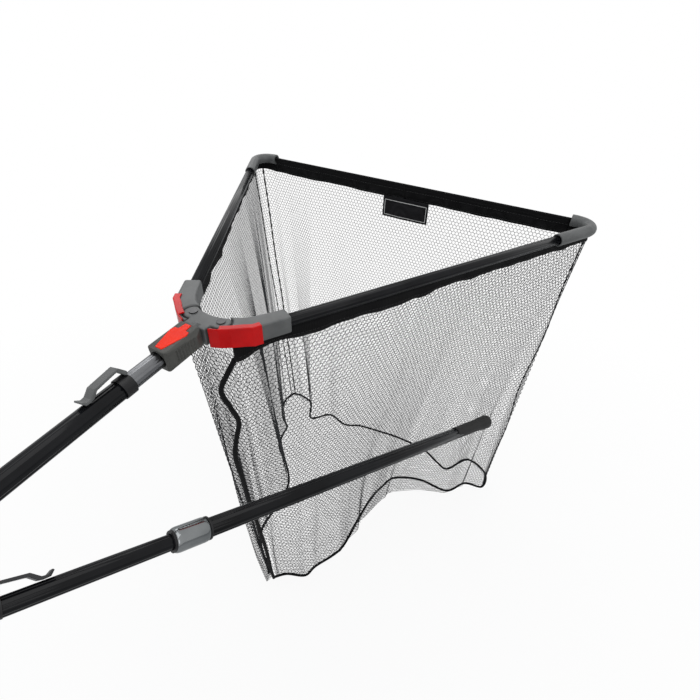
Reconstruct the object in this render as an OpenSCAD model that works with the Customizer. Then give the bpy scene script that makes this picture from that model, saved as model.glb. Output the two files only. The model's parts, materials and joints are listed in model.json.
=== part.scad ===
// Folding landing net: a triangular head on a telescopic handle that folds in half.
// Origin: centre of the hand grip on the front tube. +X runs from the grip towards the
// front bar of the head, +Y to the left arm, +Z up. The head lies level and the bag
// hangs below it. The handle drops gently towards its back end.

/* [Head] */
// Side of the triangular mouth, between the meeting points of the tube lines
side_len = 714; // [640:2:800]
// Outside diameter of the arm tubes
arm_tube_d = 15; // [13:0.5:16]
// Wall of the arm tubes
arm_tube_wall = 1; // [0.8:0.1:1.5]
// Distance from the corner of the tube lines to an elbow's start on the arm
elbow_arm_len = 115; // [90:1:130]
// Distance from the corner of the tube lines to an elbow's mouth on the front bar
elbow_mouth_len = 51; // [48:1:60]
// Centre line radius of the elbow bend
elbow_bend_r = 24; // [20:1:26]
// Outside diameter of the elbows
elbow_d = 19; // [18:0.5:21]

/* [Yoke] */
// Distance of each arm pin in front of the corner of the tube lines
pin_x = 70; // [66:1:74]
// Distance of each arm pin from the middle
pin_y = 20; // [19:0.5:22]
// Diameter of the arm pins
pin_d = 6; // [4:0.5:7]
// Height of the yoke block and of the arm sockets
yoke_h = 21; // [20:0.5:24]
// Radius of the round ears about the arm pins
ear_r = 11; // [9:0.5:11]
// Height of the tongue on each arm socket
tongue_h = 9.8; // [7:0.1:11]
// Thickness of the red covers
cover_t = 1.6; // [1:0.1:2.5]
// Width of the red covers' lips over the sockets
cover_lip = 6.5; // [3:0.5:7]

/* [Lock sleeve] */
// Length of the lock sleeve along the handle
sleeve_len = 48; // [44:1:49]
// Width of the lock sleeve at its back end
sleeve_rear_w = 26; // [24:0.5:28]
// Width of the lock sleeve at its front end
sleeve_front_w = 33; // [30:0.5:36]
// Height of the lock sleeve
sleeve_h = 25; // [23.5:0.5:28]
// Travel of the lock sleeve towards the back, over the silver tube that shows at rest
sleeve_travel = 25; // [20:1:30]

/* [Handle] */
// Drop angle of the handle from the head towards its back end
handle_pitch = 4; // [3:0.5:5]
// Distance from the grip centre to the corner of the arm lines
grip_to_head = 200; // [180:1:230]
// Outside diameter of the front tube
front_tube_d = 20; // [18:0.5:22]
// Wall of the handle tubes
tube_wall = 0.7; // [0.6:0.1:1]
// Travel of the head out of the front tube
head_travel = 150; // [100:5:160]
// Distance from the grip centre back to the knuckle pin
grip_to_knuckle = 131; // [120:1:150]

/* [Folding pole] */
// Angle between the folded pole and the handle
pole_fold = 32; // [32:0.5:34]
// Roll of the knuckle pin about the handle
pole_roll = 38; // [37:0.5:40]
// Outside diameter of the pole's inner tube
pole_inner_d = 15; // [14:0.5:15.5]
// Outside diameter of the pole's outer tube
pole_outer_d = 18; // [17.6:0.1:19]
// Distance from the knuckle pin to the twist collar
collar_at = 262; // [255:1:280]
// Length of the twist collar with its end rings
collar_len = 38; // [34:1:44]
// Outside diameter of the twist collar
collar_d = 24.6; // [24:0.2:28]
// Distance from the knuckle pin to the end of the butt cap
pole_end = 873; // [840:1:880]
// Length of the butt cap
cap_len = 114; // [90:1:130]
// Diameter of the butt cap at its flared end
cap_d = 24; // [22:0.5:26]
// Travel of the outer tube towards the knuckle
slide_in = 85; // [50:1:85]
// Travel of the outer tube away from the knuckle
slide_out = 80; // [50:1:85]

/* [Bag] */
// Depth of the bag's floor below the head
bag_depth = 650; // [550:5:700]
// Thickness of the netting walls, with their folds
net_t = 2; // [1.5:0.1:3]
// Depth of the hems below the middle of the tubes
hem_depth = 26; // [22:0.5:30]
// Thickness of the hems
hem_t = 3; // [2:0.1:4]
// Diameter of the cord sewn round the floor
floor_cord_d = 5; // [4:0.5:6]
// Diameter of the cord sewn down the yoke seam
yoke_cord_d = 6.5; // [5:0.5:7]
// Diameter of the taut cord inside the front hem
front_cord_d = 4; // [3:0.5:5]
// Width of the label
label_w = 96; // [60:1:110]
// Height of the label
label_h = 38; // [25:1:45]

/* [Belt clips] */
// Length of a belt clip along its tube
clip_len = 48; // [40:1:48]
// Width of a belt clip
clip_w = 13; // [8:0.5:14]
// Thickness of a belt clip
clip_t = 2.6; // [1.8:0.1:2.8]
// Free height between a belt clip and its tube, at its root
clip_gap = 9; // [7.5:0.5:9.5]
// Roll of the front clip about the handle, from the top towards the left
front_clip_roll = 16; // [0:1:40]
// Roll of the rear clip about the pole
rear_clip_roll = 12; // [0:1:30]

/* [Fits] */
// Radial clearance of a turning pin
pin_gap = 0.05; // [0.02:0.01:0.1]
// Radial clearance of a tube that slides in another
slide_gap = 0.2; // [0.15:0.05:0.35]
// Radial clearance of a tube that is pushed into a seat
seat_gap = 0.1; // [0.05:0.05:0.2]
// Clearance between parts that move past each other
move_gap = 0.4; // [0.3:0.05:0.5]

/* [Hidden] */

$fn = 64;
eps = 0.01;
arm_angle = 30;
left = 1;
right = -1;

// Head
apex = [grip_to_head * cos(handle_pitch), 0, grip_to_head * sin(handle_pitch)];
front_x = side_len * cos(arm_angle);
arm_tube_r = arm_tube_d / 2;
arm_tube_start = 108;
socket_end = 142;
socket_r = 10.4;
cover_end = 106;
seam_gap = 0.5;
cover_lift = 0.3;
cover_half_h = yoke_h / 2 + cover_lift + cover_t;
elbow_start = side_len - elbow_arm_len;
arm_tube_end = elbow_start + 40;
elbow_tangent = elbow_bend_r * tan(60);
elbow_arc_start = side_len - elbow_tangent;
mouth_bore_d = 12;
mouth_bore_len = 8;
mouth_y = side_len / 2 - elbow_mouth_len;

// Yoke
block_rear_x = 49;
block_half_w = 15;
slot_h = tongue_h + 2 * move_gap;
slot_r = ear_r + 1.5;
front_arc_r = 50;
front_arc_x = 125;
pin_head_d = pin_d + 4;
pin_head_h = 1.2;

// Handle, measured along its axis from the grip centre
sleeve_rear_x = grip_to_head - 2;
silver_mouth_x = sleeve_rear_x - sleeve_travel - 10;
bore_d = front_tube_d - 2 * tube_wall;
silver_d = bore_d - 2 * slide_gap;
silver_bore_d = silver_d - 2 * tube_wall;
silver_front_x = grip_to_head + 47.5;
silver_rear_x = silver_mouth_x - head_travel - 55;
expander_len = 16;
sleeve_bore_d = silver_d + 2 * slide_gap;
inset_t = 1.4;
inset_depth = 1;
groove_w = 1.3;
groove_depth = 0.35;
groove_count = 8;

// Knuckle and pole, measured from the knuckle pin
knuckle_d = 6;
knuckle_r = 8;
knuckle_w = 14;
neck_len = 38;
ear_inner = 5.5;
ear_outer = 9;
tongue_half = 4;
washer_t = 1.1;
seat_len = 8;
plug_len = 24;
pole_bore_d = pole_outer_d - 2 * 1.15;
inner_tube_start = neck_len + 6;
outer_tube_start = collar_at + 20;
tube_overlap = 73;
inner_tube_end = outer_tube_start + slide_out + tube_overlap;
outer_tube_end = pole_end - 14;
tongue_body_r = pole_inner_d / 2 + 1.5;
tongue_body_len = 18;
bush_d = pole_outer_d + 3.4;
bush_start = collar_at + 5;
bush_end = collar_at + collar_len - 4;
ring_t = 2;
lip_gap = 0.4;
cap_seat_d = cap_d - 4;
clip_ring_len = 12;
clip_ring_t = 1;
front_clip_at = silver_mouth_x - 1;
rear_clip_at = collar_at - slide_in - clip_len - 9;

// Bag, in the head's own frame: corner of the arm lines, head level
net_top = -hem_depth - 0.5;
top_near = 70;
top_far = side_len - 24;
floor_near = [110, 5];
floor_far = [568, 300];
wall_lift = net_t + 0.3;
wall_shift = net_t + 0.3;
front_hem_top = 5;
front_hem_low = -hem_depth;
front_hem_gap = 0.5;
label_top = net_top - 0.5;
label_lean = (front_x - floor_far[0]) * (label_h + 2) / (bag_depth - hem_depth);
label_x = front_x - net_t / 2 - label_lean - move_gap;

// Route of the cord sewn round the floor, in the head's own frame
floor_cord_route = [
  [110, 0, -653], [130, -20, -653], [145, -55, -650], [170, -65, -645], [220, -95, -630],
  [275, -100, -610], [330, -105, -590], [375, -115, -585], [410, -130, -585], [445, -180, -600],
  [470, -240, -630], [520, -270, -640], [540, -310, -650], [575, -305, -640], [585, -255, -630],
  [540, -220, -640], [550, -190, -645], [575, -145, -650], [580, -75, -650], [570, -20, -645],
  [565, 40, -650], [540, 75, -640], [555, 130, -645], [510, 165, -635], [570, 205, -645],
  [580, 265, -650], [535, 270, -645], [475, 235, -630], [440, 195, -620], [410, 185, -615],
  [365, 165, -605], [325, 115, -600], [285, 80, -600], [250, 75, -610], [205, 75, -620],
  [175, 75, -630], [145, 55, -640], [125, 25, -650]
];

// Route of the cord sewn down the yoke seam, in the head's own frame
yoke_cord_route = [
  [66, -36, -32], [56, -30, -50], [50, -22, -75], [57, -24, -105], [66, -25, -140],
  [60, -20, -175], [58, -16, -210], [66, -14, -270], [74, -12, -350], [84, -12, -430],
  [94, -10, -520], [100, -8, -600], [106, -6, -640]
];

// ---- placing ----

module at_head() {
  translate(apex)
    children();
}

module on_side(side) {
  at_head()
    if (side == right) children();
    else mirror([0, 1, 0]) children();
}

// Runs along the right arm from the corner of the tube lines; +Y there points into the mouth.
module on_arm(side, along) {
  on_side(side)
    rotate([0, 0, -arm_angle])
      translate([along, 0, 0])
        children();
}

module on_handle(along) {
  rotate([0, -handle_pitch, 0])
    translate([along, 0, 0])
      children();
}

// Runs along the folded pole from the knuckle pin.
module on_pole(along) {
  on_handle(-grip_to_knuckle)
    rotate([-pole_roll, 0, 0])
      rotate([0, pole_fold, 0])
        translate([along, 0, 0])
          children();
}

// ---- shared shapes ----

// Cylinder along +X
module rod(d, len) {
  rotate([0, 90, 0])
    cylinder(d = d, h = len);
}

// Tube along +X with shallow grooves along its outside
module grooved_tube(d, bore, len) {
  difference() {
    rod(d, len);
    translate([-1, 0, 0])
      rod(bore, len + 2);
    for (i = [0 : groove_count - 1])
      rotate([360 / groove_count * (i + 0.5), 0, 0])
        translate([-1, -groove_w / 2, d / 2 - groove_depth])
          cube([len + 2, groove_w, 2]);
  }
}

module ring(d, bore, len) {
  difference() {
    rod(d, len);
    translate([-1, 0, 0])
      rod(bore, len + 2);
  }
}

// Pin along Z with a flat round head at each end
module headed_pin(d, len, head_d, head_h) {
  cylinder(d = d, h = len + 2 * eps, center = true);
  for (flip = [0, 180])
    rotate([flip, 0, 0])
      translate([0, 0, len / 2])
        cylinder(d = head_d, h = head_h);
}

// Box with sharp edges cut at 45 degrees along X
module chamfered_bar(len, w, h, cut) {
  rotate([90, 0, 90])
    linear_extrude(len)
      polygon([
        [-w / 2 + cut, -h / 2], [w / 2 - cut, -h / 2], [w / 2, -h / 2 + cut], [w / 2, h / 2 - cut],
        [w / 2 - cut, h / 2], [-w / 2 + cut, h / 2], [-w / 2, h / 2 - cut], [-w / 2, -h / 2 + cut]
      ]);
}

// ---- swept cords ----

cord_sides = 8;

function unit(v) = v / norm(v);

function route_tangent(route, i) = unit(route[min(i + 1, len(route) - 1)] - route[max(i - 1, 0)]);

function route_ring(point, tangent, r) =
  let (
    up = abs(tangent[2]) > 0.9 ? [1, 0, 0] : [0, 0, 1],
    across = unit(cross(up, tangent)),
    over = cross(tangent, across)
  )
  [for (k = [0 : cord_sides - 1])
    point + r * (cos(360 * k / cord_sides) * across + sin(360 * k / cord_sides) * over)];

function shell_faces(rings) = [
  for (i = [0 : rings - 2]) for (k = [0 : cord_sides - 1])
    let (next = (k + 1) % cord_sides)
    [i * cord_sides + k, (i + 1) * cord_sides + k, (i + 1) * cord_sides + next, i * cord_sides + next]
];

module swept_cord(route, d) {
  rings = len(route);
  points = [for (i = [0 : rings - 1]) each route_ring(route[i], route_tangent(route, i), d / 2)];
  faces = concat(
    [[for (k = [0 : cord_sides - 1]) k]],
    shell_faces(rings),
    [[for (k = [cord_sides - 1 : -1 : 0]) (rings - 1) * cord_sides + k]]
  );
  polyhedron(points = points, faces = faces, convexity = 10);
}

// ---- front tube and knuckle ----

module front_tube() {
  start = -grip_to_knuckle + neck_len + seat_len;
  color("#15161a")
    on_handle(start)
      grooved_tube(front_tube_d, bore_d, silver_mouth_x - start);
}

module front_clip_ring() {
  color("#0d0d0f")
    on_handle(front_clip_at - clip_ring_len)
      ring(front_tube_d + 2 * clip_ring_t, front_tube_d + 2 * seat_gap, clip_ring_len);
}

module knuckle_fork() {
  bore = knuckle_d + 2 * pin_gap;
  color("#3b3c3e")
    on_handle(-grip_to_knuckle)
      rotate([-pole_roll, 0, 0])
        difference() {
          union() {
            translate([neck_len, 0, 0])
              rod(front_tube_d, seat_len);
            translate([neck_len, 0, 0])
              rod(bore_d - 2 * seat_gap, seat_len + plug_len);
            for (s = [left, right])
              fork_ear(s);
          }
          rotate([90, 0, 0])
            cylinder(d = bore, h = 3 * ear_outer, center = true);
        }
}

module fork_ear(side) {
  ear_t = ear_outer - ear_inner;
  translate([0, side * (ear_inner + ear_outer) / 2, 0])
    rotate([90, 0, 0]) {
      cylinder(r = knuckle_r, h = ear_t, center = true);
      translate([0, -knuckle_w / 2, -ear_t / 2])
        cube([neck_len + 1, knuckle_w, ear_t]);
    }
}

module knuckle_pin() {
  color("#9a9da0")
    on_handle(-grip_to_knuckle)
      rotate([-pole_roll, 0, 0])
        rotate([90, 0, 0])
          headed_pin(knuckle_d, 2 * ear_outer, knuckle_d + 5, 1.6);
}

module knuckle_washers() {
  color("#c9c9c4")
    on_handle(-grip_to_knuckle)
      rotate([-pole_roll, 0, 0])
        for (s = [left, right])
          translate([0, s * (tongue_half + ear_inner) / 2, 0])
            rotate([90, 0, 0])
              difference() {
                cylinder(r = knuckle_r - 1, h = washer_t, center = true);
                cylinder(d = knuckle_d + 4 * pin_gap, h = 3 * washer_t, center = true);
              }
}

// ---- head: silver tube, yoke, pins ----

module silver_tube() {
  color("#9c9ea3")
    on_handle(silver_rear_x)
      grooved_tube(silver_d, silver_bore_d, silver_front_x - silver_rear_x);
}

module front_expander() {
  color("#d8d4c8")
    on_handle(silver_rear_x - expander_len)
      union() {
        rod(bore_d - 2 * seat_gap, expander_len);
        rod(silver_bore_d - 2 * seat_gap, expander_len + 20);
      }
}

module block_outline() {
  difference() {
    union() {
      translate([block_rear_x, -block_half_w])
        square([pin_x - block_rear_x, 2 * block_half_w]);
      for (s = [left, right])
        translate([pin_x, s * pin_y])
          circle(r = ear_r);
      translate([pin_x - ear_r, -pin_y])
        square([2 * ear_r, 2 * pin_y]);
    }
    translate([front_arc_x, 0])
      circle(r = front_arc_r, $fn = 128);
  }
}

module yoke_block() {
  plug_x = grip_to_head + 12;
  color("#8a8d90")
    difference() {
      union() {
        at_head()
          translate([0, 0, -yoke_h / 2])
            linear_extrude(yoke_h)
              block_outline();
        on_handle(plug_x)
          rod(silver_bore_d - 2 * seat_gap, block_rear_x - 5);
      }
      for (s = [left, right])
        at_head()
          translate([pin_x, s * pin_y, 0]) {
            translate([0, 0, -slot_h / 2])
              cylinder(r = slot_r, h = slot_h);
            cylinder(d = pin_d + 2 * pin_gap, h = 2 * yoke_h, center = true);
          }
    }
}

module pivot_pin(side) {
  color("#77797c")
    on_side(side)
      translate([pin_x, -pin_y, 0])
        headed_pin(pin_d, yoke_h, pin_head_d, pin_head_h);
}

module pivot_pin_left() {
  pivot_pin(left);
}

module pivot_pin_right() {
  pivot_pin(right);
}

// ---- lock sleeve ----

module sleeve_outline() {
  shoulder = 18;
  polygon([
    [0, -sleeve_rear_w / 2 + 3], [3, -sleeve_rear_w / 2], [shoulder, -sleeve_rear_w / 2 - 1],
    [sleeve_len - 8, -sleeve_front_w / 2], [sleeve_len, -sleeve_front_w / 2 + 3],
    [sleeve_len, sleeve_front_w / 2 - 3], [sleeve_len - 8, sleeve_front_w / 2],
    [shoulder, sleeve_rear_w / 2 + 1], [3, sleeve_rear_w / 2], [0, sleeve_rear_w / 2 - 3]
  ]);
}

// Arrow shape of the inset: wide at the front, blunt at the back
module inset_outline(grow) {
  rear_half = 4.5 + grow;
  front_half = 11.5 + grow;
  tip_half = 5 + grow;
  polygon([
    [4 - grow, -rear_half], [32, -front_half], [37 + grow, -front_half + 2], [37 + grow, -tip_half],
    [sleeve_len - 1.5 + grow, -tip_half + 1], [sleeve_len - 1.5 + grow, tip_half - 1],
    [37 + grow, tip_half], [37 + grow, front_half - 2], [32, front_half], [4 - grow, rear_half]
  ]);
}

module lock_sleeve() {
  rib_count = 7;
  rib_w = 1.8;
  rib_pitch = 3.8;
  rib_depth = 1.7;
  color("#5b5d5c")
    on_handle(sleeve_rear_x)
      difference() {
        intersection() {
          translate([0, 0, -sleeve_h / 2])
            linear_extrude(sleeve_h)
              sleeve_outline();
          chamfered_bar(sleeve_len, sleeve_front_w, sleeve_h, 5);
        }
        translate([-1, 0, 0])
          rod(sleeve_bore_d, sleeve_len + 2);
        translate([0, 0, sleeve_h / 2 - inset_depth])
          linear_extrude(inset_depth + 1)
            inset_outline(seat_gap);
        for (i = [0 : rib_count - 1])
          for (s = [left, right])
            translate([13 + rib_pitch * i, s * (sleeve_rear_w / 2 + 0.45 * i + 1.2), 0])
              cube([rib_w, 2 * rib_depth, 0.62 * sleeve_h], center = true);
      }
}

module sleeve_inset() {
  color("#ff3a20")
    on_handle(sleeve_rear_x)
      translate([0, 0, sleeve_h / 2 - inset_depth])
        linear_extrude(inset_t)
          inset_outline(0);
}

// ---- arms ----

// Outer edge of a right arm socket, seen from above, in the head's own frame
socket_outer = [
  [block_rear_x + 3, -17.5], [block_rear_x + 7.5, -28], [block_rear_x + 14.5, -38.5],
  [block_rear_x + 23, -48.5], arm_point(96, -socket_r), arm_point(cover_end, -socket_r)
];

// Inner edge of a right arm socket, from the arm back to the yoke
socket_inner = [[104, -46.5], [97, -41.5], [90, -34.5], [85.5, -27], [83.5, -21]];

function arm_point(along, across) = [
  along * cos(arm_angle) + across * sin(arm_angle),
  -along * sin(arm_angle) + across * cos(arm_angle)
];

module socket_outline() {
  polygon(concat(
    [[block_rear_x + 3, -block_half_w - seam_gap - 0.5]],
    socket_outer,
    [
      arm_point(socket_end - 2, -socket_r), arm_point(socket_end, -socket_r + 2),
      arm_point(socket_end, socket_r - 2), arm_point(socket_end - 2, socket_r)
    ],
    socket_inner,
    [[pin_x, -pin_y], [block_rear_x + 12, -block_half_w - seam_gap - 0.5]]
  ));
}

module arm_socket(side) {
  tongue_gap = 0.5;
  color("#7c7f80")
    on_side(side)
      difference() {
        union() {
          difference() {
            translate([0, 0, -yoke_h / 2])
              linear_extrude(yoke_h)
                socket_outline();
            translate([pin_x, -pin_y, -yoke_h])
              cylinder(r = slot_r + tongue_gap, h = 2 * yoke_h);
          }
          translate([0, 0, -tongue_h / 2])
            linear_extrude(tongue_h)
              intersection() {
                socket_outline();
                translate([pin_x, -pin_y])
                  circle(r = slot_r + 2);
              }
          translate([pin_x, -pin_y, -tongue_h / 2])
            cylinder(r = ear_r, h = tongue_h);
        }
        translate([pin_x, -pin_y, -yoke_h])
          cylinder(d = pin_d + 2 * pin_gap, h = 2 * yoke_h);
        rotate([0, 0, -arm_angle])
          translate([arm_tube_start, 0, 0])
            rod(arm_tube_d + 2 * seat_gap, socket_end - arm_tube_start + 5);
      }
}

module arm_socket_left() {
  arm_socket(left);
}

module arm_socket_right() {
  arm_socket(right);
}

// Strip along the outer edge of the socket, pushed outwards by the two given amounts
module cover_strip(inner, outer, first) {
  last = len(socket_outer) - 1;
  polygon(concat(
    [for (i = [first : last]) socket_outer[i] + inner * cover_normal(i)],
    [for (i = [last : -1 : first]) socket_outer[i] + outer * cover_normal(i)]
  ));
}

function cover_normal(i) =
  let (
    last = len(socket_outer) - 1,
    along = unit(socket_outer[min(i + 1, last)] - socket_outer[max(i - 1, 0)])
  )
  [along[1], -along[0]];

// The lips stand clear of the yoke block, so that they pass over it when the arms fold.
module socket_cover(side) {
  color("#d0101a")
    on_side(side) {
      translate([0, 0, -cover_half_h])
        linear_extrude(2 * cover_half_h)
          cover_strip(0, cover_t, 0);
      for (z = [-cover_half_h, cover_half_h - cover_t])
        translate([0, 0, z])
          linear_extrude(cover_t)
            cover_strip(-cover_lip, cover_t, 1);
    }
}

module socket_cover_left() {
  socket_cover(left);
}

module socket_cover_right() {
  socket_cover(right);
}

module arm_tube(side) {
  color("#15161a")
    on_arm(side, arm_tube_start)
      grooved_tube(arm_tube_d, arm_tube_d - 2 * arm_tube_wall, arm_tube_end - arm_tube_start);
}

module arm_tube_left() {
  arm_tube(left);
}

module arm_tube_right() {
  arm_tube(right);
}

module elbow(side) {
  lap = 1.5;
  cuff_d = elbow_d + 0.6;
  mouth_len = elbow_mouth_len - elbow_tangent;
  color("#77797a")
    on_arm(side, 0)
      difference() {
        union() {
          translate([elbow_start, 0, 0])
            rod(cuff_d, elbow_arc_start - elbow_start + lap);
          translate([elbow_arc_start, elbow_bend_r, 0])
            rotate([0, 0, -90])
              rotate_extrude(angle = 120)
                translate([elbow_bend_r, 0])
                  circle(d = elbow_d);
          on_front_leg(elbow_tangent - lap)
            rod(cuff_d, mouth_len + lap);
        }
        translate([elbow_start - 1, 0, 0])
          rod(arm_tube_d + 2 * seat_gap, arm_tube_end - elbow_start + 1.5);
        on_front_leg(elbow_mouth_len - mouth_bore_len)
          rod(mouth_bore_d, mouth_bore_len + 1);
        on_front_leg(elbow_mouth_len - 2 * mouth_bore_len)
          rod(front_cord_d + 2 * move_gap, mouth_bore_len + 1);
      }
}

// Runs along the front bar from the corner of the tube lines, inside on_arm
module on_front_leg(along) {
  translate([side_len, 0, 0])
    rotate([0, 0, 120])
      translate([along, 0, 0])
        children();
}

module elbow_left() {
  elbow(left);
}

module elbow_right() {
  elbow(right);
}

// Fabric hem that hangs below an arm
module arm_hem(side) {
  tube_low = -arm_tube_r - 0.3;
  cover_low = -cover_half_h - 0.3;
  socket_low = -yoke_h / 2 - 0.3;
  elbow_low = -elbow_d / 2 - 0.3;
  color("#101012")
    on_arm(side, 0)
      rotate([90, 0, 0])
        linear_extrude(hem_t, center = true)
          polygon([
            [top_near + 2, cover_low], [cover_end + 2, cover_low], [cover_end + 2, socket_low],
            [socket_end + 1, socket_low], [socket_end + 1, tube_low],
            [elbow_start - 1, tube_low], [elbow_start - 1, elbow_low], [side_len - 60, elbow_low],
            [side_len - 60, -hem_depth], [top_near + 2, -hem_depth]
          ]);
}

module arm_hem_left() {
  arm_hem(left);
}

module arm_hem_right() {
  arm_hem(right);
}

// ---- front bar: cord in its hem ----

module front_cord() {
  cord_end = mouth_y + 2 * mouth_bore_len - 2;
  color("#0c0c0c")
    at_head()
      translate([front_x, -cord_end, 0])
        rotate([0, 0, 90])
          rod(front_cord_d, 2 * cord_end);
}

// One half of the front hem, from the middle to the elbow's mouth
module front_hem(side) {
  hem_len = mouth_y - 1;
  color("#101012")
    on_side(side)
      translate([front_x - hem_t, -hem_len, 0])
        difference() {
          translate([0, 0, front_hem_low])
            cube([2 * hem_t, hem_len - front_hem_gap / 2, front_hem_top - front_hem_low]);
          translate([hem_t, -1, 0])
            rotate([0, 0, 90])
              rod(front_cord_d + 0.6, hem_len + 2);
        }
}

module front_hem_left() {
  front_hem(left);
}

module front_hem_right() {
  front_hem(right);
}

// ---- bag ----

// Netting wall made of flat triangles, with their corners in the head's own frame
module panel(triangles) {
  color("#2a2b2d", 0.6)
    at_head()
      for (corners = triangles)
        hull()
          for (c = corners)
            translate(c)
              cube(net_t, center = true);
}

function top_point(side, along) = [along * cos(arm_angle), side * along * sin(arm_angle), net_top - net_t / 2];

module bag_side(side) {
  near_top = top_point(side, top_near);
  far_top = top_point(side, top_far);
  near_low = [floor_near[0], side * floor_near[1], -bag_depth + wall_lift];
  far_low = [floor_far[0], side * floor_far[1], -bag_depth + wall_lift];
  panel([[near_top, far_top, far_low], [near_top, far_low, near_low]]);
}

module bag_left() {
  bag_side(left);
}

module bag_right() {
  bag_side(right);
}

module bag_front() {
  top_y = top_point(left, top_far)[1] - 2 * net_t;
  low_y = floor_far[1] - 2 * net_t;
  top_z = net_top - net_t / 2;
  low_z = -bag_depth + wall_lift;
  low_x = floor_far[0] + wall_shift;
  panel([
    [[front_x, top_y, top_z], [front_x, -top_y, top_z], [low_x, -low_y, low_z]],
    [[front_x, top_y, top_z], [low_x, -low_y, low_z], [low_x, low_y, low_z]]
  ]);
}

module bag_back() {
  near = top_point(left, top_near);
  panel([[
    [near[0] - wall_shift, near[1] - net_t, near[2]],
    [near[0] - wall_shift, -near[1] + net_t, near[2]],
    [floor_near[0] - wall_shift, 0, -bag_depth + wall_lift]
  ]]);
}

module bag_floor() {
  panel([[
    [floor_near[0], 0, -bag_depth],
    [floor_far[0], floor_far[1], -bag_depth],
    [floor_far[0], -floor_far[1], -bag_depth]
  ]]);
}

module yoke_seam_cord() {
  color("#0c0c0c")
    at_head()
      swept_cord(yoke_cord_route, yoke_cord_d);
}

module floor_cord() {
  color("#0c0c0c")
    at_head()
      swept_cord(concat(floor_cord_route, [[112, 12, -653]]), floor_cord_d);
}

module label() {
  label_t = 1;
  label_mid = -6;
  color("#151515")
    at_head()
      translate([label_x - label_t, label_mid - label_w / 2, label_top - label_h])
        cube([label_t, label_w, label_h]);
}

// ---- belt clips ----

// Side view of a clip from its root backwards; z is the height above the tube's surface
module clip_outline() {
  far_gap = 0.7 * clip_gap;
  polygon([
    [0.5, 1.4], [0.5, 4.5], [-5, clip_gap + clip_t], [-clip_len + 16, far_gap + clip_t],
    [-clip_len + 9, 3.4], [-clip_len + 5, 3.1], [-clip_len + 1, 6.2], [-clip_len, 4.8],
    [-clip_len + 3, 0.9], [-clip_len + 7, 0.5], [-clip_len + 11.5, 1.3],
    [-clip_len + 17.5, far_gap], [-7, clip_gap], [-2.5, 1.4]
  ]);
}

module clip_strap(tube_d) {
  translate([0, 0, tube_d / 2])
    rotate([90, 0, 0])
      linear_extrude(clip_w, center = true)
        clip_outline();
}

module front_clip() {
  color("#77797a")
    on_handle(front_clip_at)
      rotate([-front_clip_roll, 0, 0])
        clip_strap(front_tube_d);
}

module rear_clip() {
  color("#3a3b3d")
    on_pole(rear_clip_at)
      rotate([-rear_clip_roll, 0, 0])
        mirror([1, 0, 0])
          clip_strap(pole_inner_d);
}

// ---- pole ----

module knuckle_tongue() {
  color("#3b3c3e")
    on_pole(0)
      difference() {
        union() {
          rotate([90, 0, 0])
            cylinder(r = knuckle_r, h = 2 * tongue_half, center = true);
          translate([0, -tongue_half, -knuckle_w / 2])
            cube([neck_len + 1, 2 * tongue_half, knuckle_w]);
          translate([neck_len, 0, 0])
            rod(2 * tongue_body_r, tongue_body_len);
        }
        rotate([90, 0, 0])
          cylinder(d = knuckle_d + 2 * pin_gap, h = 4 * tongue_half, center = true);
        translate([inner_tube_start, 0, 0])
          rod(pole_inner_d + 2 * seat_gap, tongue_body_len);
      }
}

module pole_inner_tube() {
  color("#15161a")
    on_pole(inner_tube_start)
      grooved_tube(pole_inner_d, pole_inner_d - 2 * tube_wall, inner_tube_end - inner_tube_start);
}

module rear_clip_ring() {
  color("#0d0d0f")
    on_pole(rear_clip_at)
      ring(pole_inner_d + 2 * clip_ring_t, pole_inner_d + 2 * seat_gap, clip_ring_len);
}

module rear_expander() {
  color("#d8d4c8")
    on_pole(inner_tube_end)
      union() {
        rod(pole_bore_d - 2 * seat_gap, expander_len);
        translate([-20, 0, 0])
          rod(pole_inner_d - 2 * tube_wall - 2 * seat_gap, 21);
      }
}

module pole_outer_tube() {
  color("#15161a")
    on_pole(outer_tube_start)
      grooved_tube(pole_outer_d, pole_bore_d, outer_tube_end - outer_tube_start);
}

module collar_bush() {
  color("#c9c9c4")
    on_pole(0)
      difference() {
        translate([bush_start, 0, 0])
          rod(bush_d, bush_end - bush_start);
        translate([bush_start - 1, 0, 0])
          rod(pole_inner_d + 2 * slide_gap, bush_end - bush_start + 2);
        translate([outer_tube_start - seat_gap, 0, 0])
          rod(pole_outer_d + 2 * seat_gap, collar_len);
      }
}

module twist_collar() {
  round_r = 5;
  bore_r = bush_d / 2 + slide_gap;
  lip_r = pole_inner_d / 2 + lip_gap;
  out_r = collar_d / 2;
  body = collar_len - 2 * ring_t;
  color("#8f9498")
    on_pole(collar_at + ring_t)
      rotate([0, 90, 0])
        difference() {
          rotate_extrude()
            polygon(concat(
              [[0, 0]],
              [for (a = [0 : 15 : 90]) [out_r - 1.6 + 1.6 * sin(a), round_r - round_r * cos(a)]],
              [for (a = [0 : 15 : 90]) [out_r - 1.6 + 1.6 * cos(a), body - round_r + round_r * sin(a)]],
              [[0, body]]
            ));
          translate([0, 0, 2.5])
            cylinder(r = bore_r, h = collar_len);
          translate([0, 0, -1])
            cylinder(r = lip_r, h = collar_len);
        }
}

module collar_ring_front() {
  color("#0c0c0c")
    on_pole(collar_at)
      ring(collar_d - 3.4, pole_inner_d + 2 * lip_gap, ring_t);
}

module collar_ring_rear() {
  color("#0c0c0c")
    on_pole(collar_at + collar_len - ring_t)
      ring(collar_d - 1, pole_outer_d + 2 * slide_gap, ring_t);
}

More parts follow.
